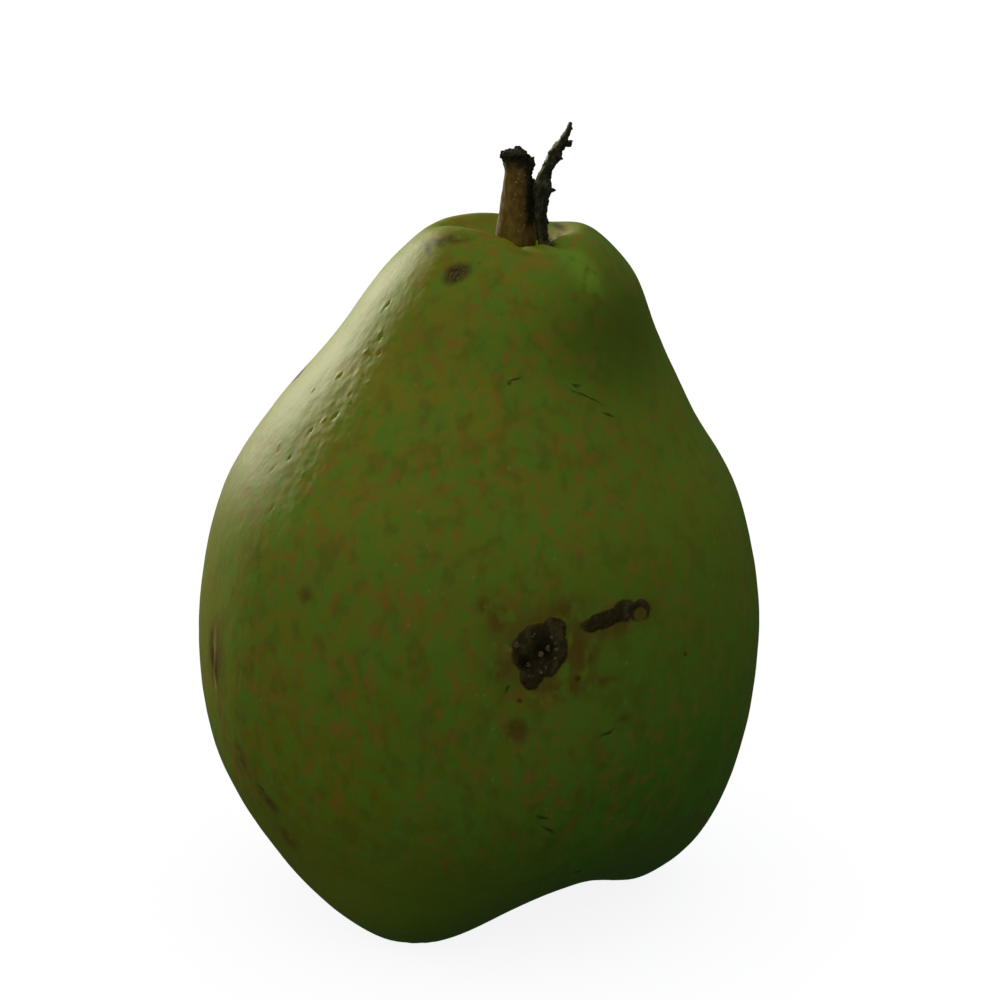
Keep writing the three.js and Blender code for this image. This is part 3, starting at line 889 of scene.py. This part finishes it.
stem = {
    # centre x, y, z, half width and half depth, from the root up
    "stations": [
        (4.7, 0.2, 85.4, 1.8, 1.7),
        (4.7, 0.2, 86.8, 2.3, 2.1),
        (4.7, 0.2, 88.2, 2.6, 2.3),
        (4.7, 0.2, 89.6, 2.55, 2.25),
        (4.72, 0.2, 91.6, 2.25, 2.05),
        (4.75, 0.2, 93.6, 2.0, 1.85),
        (4.8, 0.2, 95.6, 1.75, 1.7),
        (4.8, 0.2, 97.6, 1.5, 1.5),
        (4.6, 0.2, 98.8, 1.5, 1.5),
        (4.5, 0.2, 99.7, 1.55, 1.5),
        (4.5, 0.2, 100.2, 1.2, 1.2),
    ],
    "sides": 48,
    "steps": 60,
    "crown": (4.5, 0.2, 99.8),
    "crownRadius": 1.3,
    "crownBurrs": 10,
    "burrSize": 0.5,
    "burrFlat": 0.9,  # a burr's half height for each half width
    "burrRough": 0.3,
    # how far a burr strays in its turn, its size and its height
    "burrStray": (0.4, 0.5, 0.35),
    "looseBark": [  # centre x, y, z, half width, half height
        (6.4, 0.1, 98.3, 0.7, 1.4),
        (6.25, 0.1, 96.2, 0.65, 1.3),
        (6.45, 0.1, 94.0, 0.6, 1.4),
        (6.65, 0.1, 91.8, 0.5, 1.2),
        (6.85, 0.9, 95.2, 0.55, 1.3),
        (6.9, 0.9, 93.2, 0.55, 1.4),
        (7.0, 0.9, 91.2, 0.55, 1.4),
        (7.1, 0.9, 89.4, 0.5, 1.1),
        (2.95, 0.2, 99.5, 0.35, 0.35),
    ],
    "looseSeed": 20,
    "looseRough": 0.5,
    "voxel": 0.085,  # grid that the parts melt together on
    # rough dark bark: a strip down the twig's side, partly painted shade in the gap between stem
    # and twig, and the crown; where each starts and is full
    "stripAcross": (5.5, 6.3),
    "stripUp": (89, 92),
    "stripWander": [(0.4, 1.4, 0.0, 1.0)],
    "crownUp": (97.9, 99.0),
    "crownWander": [(0.5, 0.8, 0.0, 1.0)],
    "relief": [(0.05, 0.42, 3.0, 0.16), (0.05, 1.1, 17.0, 1.0)],
    "roughRelief": [(0.16, 0.32, 9.0, 1.0), (0.12, 1.1, 17.0, 1.0)],
    "wartsAcross": (3.6, 4.6),
    "wartsUp": (89, 91),
    "bark": "#8c6d45",
    "barkDark": "#705634",
    "barkPale": "#958461",
    "zoneBark": "#27241b",  # the rough bark, partly painted shade on the strip facing the twig
    "streak": 0.6,  # scale of the streaks along Z
    "bumpHeight": 0.03,
}

stemWarts = {
    "Share name": "wartShare", "Density": 0.9, "Least size": 0.16, "Greatest size": 0.34,
    "Flatness": 0.5, "Unevenness": 0.3, "Seed": 2,
    "colour": "#b3a88a", "roughness": 0.8,
}


def buildStem():
    parts = [limbMesh(stem["stations"], stem["sides"], stem["steps"])]
    turnStray, sizeStray, heightStray = stem["burrStray"]
    for i in range(stem["crownBurrs"]):
        turn = i + turnStray * noise.noise(Vector((i, 3.3, 0)))
        angle = turn / stem["crownBurrs"] * 2 * math.pi
        size = stem["burrSize"] * (1 + sizeStray * noise.noise(Vector((i * 1.7, 0.4, 2))))
        lift = heightStray * noise.noise(Vector((i * 2.3, 5.1, 1)))
        out = Vector((math.cos(angle), math.sin(angle), 0)) * stem["crownRadius"]
        x, y, z = Vector(stem["crown"]) + out
        parts.append(burrMesh(x, y, z + lift, size, size * stem["burrFlat"], i,
                              stem["burrRough"]))
    for i, flap in enumerate(stem["looseBark"]):
        parts.append(burrMesh(*flap, stem["looseSeed"] + i, stem["looseRough"]))
    thing = growSolid("stemWood", parts, stem["voxel"])
    points = places(thing.data)
    outward = normalsOf(thing.data)
    across = points[:, 0] + unevenness(points, stem["stripWander"])
    strip = smoothStep(*stem["stripAcross"], across) * smoothStep(*stem["stripUp"], points[:, 2])
    up = points[:, 2] + unevenness(points, stem["crownWander"])
    rough = np.maximum(smoothStep(*stem["crownUp"], up), strip)
    relief = unevenness(points, stem["relief"])
    relief += rough * unevenness(points, stem["roughRelief"])
    points += outward * relief[:, None]
    putPlaces(thing.data, points)
    # this share also tints the bark dark: rough bark, and on the strip facing the twig partly
    # painted shade in the gap between stem and twig
    addValues(thing.data, "roughBarkAndGapShade", rough)
    front = smoothStep(*stem["wartsAcross"], points[:, 0])
    addValues(thing.data, "wartShare",
              front * smoothStep(*stem["wartsUp"], points[:, 2]) * (1 - rough))
    return thing


twig = {
    "stations": [  # as the stem's
        (8.4, -1.8, 85.4, 0.6, 0.6),
        (8.35, -1.8, 87.2, 0.7, 0.7),
        (8.25, -1.8, 88.6, 0.7, 0.75),
        (8.0, -1.8, 90.2, 0.72, 0.8),
        (7.9, -1.8, 92.0, 0.74, 0.85),
        (7.92, -1.8, 93.6, 0.84, 0.9),
        (8.0, -1.75, 94.9, 1.0, 0.95),
        (8.12, -1.65, 96.0, 1.15, 1.0),
        (8.2, -1.5, 97.0, 0.92, 0.85),
        (8.5, -1.3, 98.0, 0.72, 0.72),
        (9.15, -1.0, 99.1, 0.78, 0.75),
        (9.75, -0.7, 100.3, 0.75, 0.7),
        (10.7, -0.3, 101.7, 0.55, 0.52),
        (11.3, 0.0, 102.9, 0.36, 0.36),
        (11.6, 0.2, 103.9, 0.25, 0.25),
    ],
    "sides": 40,
    "steps": 80,
    "burrs": [  # centre x, y, z, half width, half height
        (9.25, -1.6, 95.5, 0.38, 0.26),  # thorn at the joint
        (10.0, -0.8, 99.7, 0.6, 0.7),
        (11.35, -0.3, 101.2, 0.42, 0.5),
        (9.0, -1.1, 100.2, 0.3, 0.3),
        (8.6, -2.2, 94.4, 0.4, 0.5),
        (8.5, -1.9, 91.4, 0.3, 0.4),
        (7.2, -2.0, 95.8, 0.3, 0.4),
    ],
    "burrSeed": 40,
    "burrRough": 0.5,
    "voxel": 0.075,
    "relief": [(0.08, 0.35, 3.0, 0.25), (0.1, 0.28, 9.0, 1.0), (0.1, 0.8, 17.0, 1.0)],
    "thinUp": (103.9, 102.0),  # heights where the relief is weakest and full
    "leastRelief": 0.3,  # share of it at the thin end
    # painted highlight: the bark is painted pale above the joint, on the side that faces this way,
    # towards the key light
    "highlightFacing": (-0.6, 0.5, 0.6),
    "highlightFrom": (0.05, 0.5),
    "highlightWander": [(0.4, 0.8, 17.0, 1.0)],
    "highlightUp": (95.5, 98.5),
    "bark": "#4a494a",
    "barkDark": "#252527",
    "barkPale": "#676769",
    "zoneBark": "#b6b7b3",  # painted highlight on the side towards the key light
    "streak": 0.4,
    "bumpHeight": 0.06,
}

twigFlakes = {
    "Share name": "flakeShare", "Density": 1.1, "Least size": 0.25, "Greatest size": 0.5,
    "Flatness": 0.45, "Unevenness": 0.5, "Seed": 6,
    "colour": "#353537", "roughness": 0.85,
}


def buildTwig():
    parts = [limbMesh(twig["stations"], twig["sides"], twig["steps"])]
    for i, burr in enumerate(twig["burrs"]):
        parts.append(burrMesh(*burr, twig["burrSeed"] + i, twig["burrRough"]))
    thing = growSolid("witheredTwig", parts, twig["voxel"])
    points = places(thing.data)
    outward = normalsOf(thing.data)
    facing = outward @ np.array(twig["highlightFacing"]) + unevenness(points, twig["highlightWander"])
    least = twig["leastRelief"]
    strength = least + (1 - least) * smoothStep(*twig["thinUp"], points[:, 2])
    points += outward * (unevenness(points, twig["relief"]) * strength)[:, None]
    putPlaces(thing.data, points)
    # painted highlight: pale on the side towards the key light, above the joint; the flakes go on
    # the rest
    highlightShare = smoothStep(*twig["highlightFrom"], facing) * smoothStep(*twig["highlightUp"], points[:, 2])
    addValues(thing.data, "litSideHighlight", highlightShare)
    addValues(thing.data, "flakeShare", 1 - highlightShare)
    return thing


# Patterns of the bark: width in millimetres and detail, then where a patch starts and is full
barkPatterns = {
    "grain": (0.5, 4.0, 0.36, 0.7),
    "clouds": (1.6, 2.0, 0.48, 0.75),
    "cracks": (0.18, 3.0),
    "cloudStrength": 0.7,
    "roughness": 0.75,
}


def barkMaterial(name, values, zoneName):
    # dead wood and bark: dry and matt, streaked along its length and mottled dark and pale
    material, tree = newMaterial(name)
    objectPlace = addNode(tree, "ShaderNodeTexCoord", output="Object")
    place = addNode(tree, "ShaderNodeVectorMath", {"operation": "SCALE"},
                    {0: objectPlace, "Scale": 1 / mm})
    drawn = addNode(tree, "ShaderNodeMapping", None,
                    {"Vector": place, "Scale": (1, 1, values["streak"])})
    pattern = {}
    for part, along in (("grain", drawn), ("clouds", place), ("cracks", drawn)):
        width, detail = barkPatterns[part][:2]
        pattern[part] = addNode(tree, "ShaderNodeTexNoise", None,
                                {"Vector": along, "Scale": 1 / width, "Detail": detail})
    share = {}
    for part, strength in (("grain", 1.0), ("clouds", barkPatterns["cloudStrength"])):
        start, full = barkPatterns[part][2:]
        share[part] = addNode(tree, "ShaderNodeMapRange", {"interpolation_type": "SMOOTHSTEP"}, {
            "Value": pattern[part], "From Min": start, "From Max": full, "To Max": strength})
    # the zone's tint is rough bark with painted shade on the stem, a painted highlight on the
    # twig, and the sepals' dark edges on the calyx
    share["zone"] = addNode(tree, "ShaderNodeAttribute", {"attribute_name": zoneName},
                            output="Fac")
    colour = linearColour(values["barkDark"])
    for part, tint in (("grain", "bark"), ("clouds", "barkPale"), ("zone", "zoneBark")):
        colour = addNode(tree, "ShaderNodeMix", {"data_type": "RGBA"},
                         {0: share[part], 6: colour, 7: linearColour(values[tint])}, 2)
    bump = addNode(tree, "ShaderNodeBump", None, {
        "Strength": 1.0, "Distance": values["bumpHeight"] * mm, "Height": pattern["cracks"]})
    shader = addNode(tree, "ShaderNodeBsdfPrincipled", None, {
        "Base Color": colour, "Roughness": barkPatterns["roughness"], "Normal": bump,
        **dryFinish})
    addNode(tree, "ShaderNodeOutputMaterial", None, {"Surface": shader})
    return material


stemWood = buildStem()
witheredTwig = buildTwig()
# pale cork pores dot the smooth bark, and the twig's bark lifts in small dark scales
addGrains("stemWarts", stemWood, "paleWart", stemWarts)
addGrains("twigFlakes", witheredTwig, "barkFlake", twigFlakes)
finishPiece(stemWood, barkMaterial("smoothPearBark", stem, "roughBarkAndGapShade"), "stem")
finishPiece(witheredTwig, barkMaterial("witheredBark", twig, "litSideHighlight"), "side_twig")
print("stem and twig grown")


# The calyx

calyx = {
    "middle": (1.8, 0.9),
    # centre x, y, z, half width and half depth
    "cup": [(1.8, 0.9, 3.9, 1.7, 1.7), (1.8, 0.9, 5.4, 2.1, 2.1), (1.8, 0.9, 8.0, 1.6, 1.6)],
    "sepals": 5,
    # reach, height and half width, from the root out
    "sepalLine": [(0.9, 4.6, 1.1), (2.3, 3.5, 1.25), (3.6, 2.9, 0.95), (4.9, 3.0, 0.4)],
    "sepalHalfThickness": 0.33,
    "sepalCurl": 0.25,  # how far a sepal's edges hang, for each half width
    "sepalStray": 0.1,  # how far a sepal strays in its turn
    "sepalSides": 20,
    "sepalSteps": 16,
    "cupSides": 40,
    "cupSteps": 30,
    "stamens": 9,
    "stamenRoot": (0.9, 4.6),  # distance from the middle, height
    "stamenTip": 2.6,  # height of its tip
    "stamenSplay": (0.72, 0.32),  # how far it leans out, and how much that varies
    "stamenRadii": (0.22, 0.3),  # at the root and at the tip
    "stamenSides": 12,
    "stamenSteps": 10,
    "voxel": 0.11,
    "relief": [(0.1, 0.5, 4.0, 1.0), (0.08, 1.2, 8.0, 1.0)],
    "dryEdge": (3.2, 5.0),  # distances from the middle where the dark edge starts and is full
    "bark": "#4d3a22",
    "barkDark": "#1c140b",
    "barkPale": "#77603d",
    "zoneBark": "#2a1d10",  # the sepals' dark edges
    "streak": 1.0,
    "bumpHeight": 0.06,
}


def sepalMesh(turn):
    line = smoothStations(calyx["sepalLine"], calyx["sepalSteps"])
    sides = calyx["sepalSides"]
    points = []
    for reach, z, wide in line:
        for side in range(sides):
            angle = side / sides * 2 * math.pi
            curl = calyx["sepalCurl"] * wide * math.cos(angle) ** 2
            lift = calyx["sepalHalfThickness"] * math.sin(angle) - curl
            points.append(Vector((-wide * math.cos(angle), reach, z + lift)))
    points += [Vector((0, *line[0][:2])), Vector((0, *line[-1][:2]))]
    spin = Matrix.Rotation(turn, 4, "Z")
    shift = Vector((*calyx["middle"], 0))
    return [spin @ p + shift for p in points], closedFaces(len(line), sides)


def buildCalyx():
    parts = [limbMesh(calyx["cup"], calyx["cupSides"], calyx["cupSteps"])]
    for i in range(calyx["sepals"]):
        turn = i + calyx["sepalStray"] * noise.noise(Vector((i * 1.3, 0.7, 0)))
        parts.append(sepalMesh(turn / calyx["sepals"] * 2 * math.pi))
    away, height = calyx["stamenRoot"]
    splay, stray = calyx["stamenSplay"]
    rootRadius, tipRadius = calyx["stamenRadii"]
    for i in range(calyx["stamens"]):
        angle = i / calyx["stamens"] * 2 * math.pi
        lean = splay + stray * noise.noise(Vector((i * 2.1, 1.9, 0)))
        out = Vector((math.cos(angle), math.sin(angle), 0))
        root = Vector((*calyx["middle"], height)) + out * away
        tip = Vector((*calyx["middle"], calyx["stamenTip"])) + out * (away + lean)
        stations = []
        for share in (0, 0.3, 0.6, 1):
            radius = tipRadius + (rootRadius - tipRadius) * share
            stations.append((*(tip + (root - tip) * share), radius, radius))
        parts.append(limbMesh(stations, calyx["stamenSides"], calyx["stamenSteps"]))
    thing = growSolid("driedCalyx", parts, calyx["voxel"])
    points = places(thing.data)
    outward = normalsOf(thing.data)
    points += outward * unevenness(points, calyx["relief"])[:, None]
    putPlaces(thing.data, points)
    reach = np.linalg.norm(points[:, :2] - np.array(calyx["middle"]), axis=1)
    addValues(thing.data, "dryEdge", smoothStep(*calyx["dryEdge"], reach))
    return thing


driedCalyx = buildCalyx()
finishPiece(driedCalyx, barkMaterial("driedCalyx", calyx, "dryEdge"), "calyx")
print("calyx made")


# Floor, light and camera

studio = {  # in metres
    "floorRadius": 0.9,
    "sweepRadius": 0.7,  # the rise from the floor to the wall
    "sweepSteps": 12,
    "wallHeight": 1.2,
    "sides": 96,
    "paper": "#a9adec",  # bluish, so that it looks white under the yellow sky
    "paperGlow": 0.88,
    "paperRoughness": 0.9,
    "keyDirection": (-0.58, 0.76, 0.24),  # towards the light, low behind the pear's left
    "keyDistance": 1.5,
    "keyRadius": 0.045,
    "keyPower": 62.0,
    "keyColour": "#fffbe8",
    "keyCone": 16.0,  # degrees across
    "keyConeEdge": 0.15,  # soft share of the cone
    "keyLowest": 0.021,  # height on the pear where the cone ends
    "sky": "#fff9b8",  # light from above comes through leaves
    "ground": "#e6f4d8",  # light from below is whiter
    "skyTop": 0.395,
    "skyLow": 0.05,
    "skyLean": (-0.3, 0.0, 0.95),  # the way the sky is brightest
    "skyRise": (-0.3, 0.6),  # how far that way the sky starts and is full
}


def buildFloor():
    profile = [(0.0, 0.0), (studio["floorRadius"], 0.0)]
    for step in range(1, studio["sweepSteps"] + 1):
        turn = step / studio["sweepSteps"] * math.pi / 2
        profile.append((studio["floorRadius"] + studio["sweepRadius"] * math.sin(turn),
                        studio["sweepRadius"] * (1 - math.cos(turn))))
    profile.append((studio["floorRadius"] + studio["sweepRadius"], studio["wallHeight"]))
    sides = studio["sides"]
    points = [Vector((0, 0, 0))]
    for radius, height in profile[1:]:
        points += [Vector((radius * math.cos(a), radius * math.sin(a), height))
                   for a in (side / sides * 2 * math.pi for side in range(sides))]
    faces = [(0, 1 + side, 1 + (side + 1) % sides) for side in range(sides)]
    for ring in range(len(profile) - 2):
        low = 1 + ring * sides
        for side in range(sides):
            after = (side + 1) % sides
            faces.append((low + side, low + sides + side, low + sides + after, low + after))
    floor = newObject("paleFloor", points, faces)
    floor.data.polygons.foreach_set("use_smooth", [True] * len(floor.data.polygons))
    # matt paper that glows, so that it stays an even white but for the pear's soft shadow
    material, tree = newMaterial("palePaper")
    shader = addNode(tree, "ShaderNodeBsdfPrincipled", None, {
        "Base Color": linearColour(studio["paper"]), "Roughness": studio["paperRoughness"],
        "Specular IOR Level": 0.0, "Emission Color": (1, 1, 1, 1),
        "Emission Strength": studio["paperGlow"]})
    addNode(tree, "ShaderNodeOutputMaterial", None, {"Surface": shader})
    floor.data.materials.append(material)
    # only a backdrop: it takes the pear's shadow and throws no light back on it
    floor.visible_diffuse = False
    floor.visible_glossy = False
    floor.visible_shadow = False


def buildLights():
    world = bpy.data.worlds.new("studioSky")
    bpy.context.scene.world = world
    world.use_nodes = True
    tree = world.node_tree
    tree.nodes.clear()
    direction = addNode(tree, "ShaderNodeTexCoord", output="Generated")
    lean = addNode(tree, "ShaderNodeVectorMath", {"operation": "DOT_PRODUCT"},
                   {0: direction, 1: studio["skyLean"]}, "Value")
    start, full = studio["skyRise"]
    above = addNode(tree, "ShaderNodeMapRange", {"interpolation_type": "SMOOTHSTEP"},
                    {"Value": lean, "From Min": start, "From Max": full})
    strength = addNode(tree, "ShaderNodeMapRange", None, {
        "Value": above, "To Min": studio["skyLow"], "To Max": studio["skyTop"]})
    colour = addNode(tree, "ShaderNodeMix", {"data_type": "RGBA"}, {
        0: above, 6: linearColour(studio["ground"]), 7: linearColour(studio["sky"])}, 2)
    background = addNode(tree, "ShaderNodeBackground", None,
                         {"Color": colour, "Strength": strength})
    addNode(tree, "ShaderNodeOutputWorld", None, {"Surface": background})

    key = bpy.data.lights.new("keyLight", "SPOT")
    key.energy = studio["keyPower"]
    key.color = linearColour(studio["keyColour"])[:3]
    key.shadow_soft_size = studio["keyRadius"]
    key.spot_size = math.radians(studio["keyCone"])
    key.spot_blend = studio["keyConeEdge"]
    keyLight = bpy.data.objects.new("keyLight", key)
    toLight = Vector(studio["keyDirection"]).normalized()
    lowest = Vector((0, 0, studio["keyLowest"]))
    keyLight.location = lowest + toLight * studio["keyDistance"]
    # the cone is aimed over the pear, so that its lower edge passes the lowest lit place
    halfCone = math.radians(studio["keyCone"] / 2)
    aim = Matrix.Rotation(-halfCone, 3, toLight.cross((0, 0, 1))) @ toLight
    keyLight.rotation_euler = aim.to_track_quat("Z", "Y").to_euler()
    bpy.context.scene.collection.objects.link(keyLight)
    # it lights the pear alone, so that the floor stays plain
    lit = bpy.data.collections.new("litByKey")
    for thing in bpy.context.scene.objects:
        if thing.type == "MESH" and thing.name != "paleFloor":
            lit.objects.link(thing)
    keyLight.light_linking.receiver_collection = lit


view = {  # in metres, and the lens in millimetres
    "elevation": 18.0,  # degrees that the camera looks down
    "distance": 0.505,
    "target": (0.0027, 0.0, 0.0539),
    "lens": 140.0,
    "sensor": 36.0,
    "nearest": 0.01,
}


def buildCamera():
    camera = bpy.data.cameras.new("camera")
    camera.lens = view["lens"]
    camera.sensor_width = view["sensor"]
    camera.clip_start = view["nearest"]
    thing = bpy.data.objects.new("camera", camera)
    rise = math.radians(view["elevation"])
    back = Vector((0, -math.cos(rise), math.sin(rise)))
    thing.location = Vector(view["target"]) + back * view["distance"]
    thing.rotation_euler = back.to_track_quat("Z", "Y").to_euler()
    bpy.context.scene.collection.objects.link(thing)
    bpy.context.scene.camera = thing


buildFloor()
buildLights()
buildCamera()
bpy.context.scene.view_settings.view_transform = "Standard"
print("studio set")
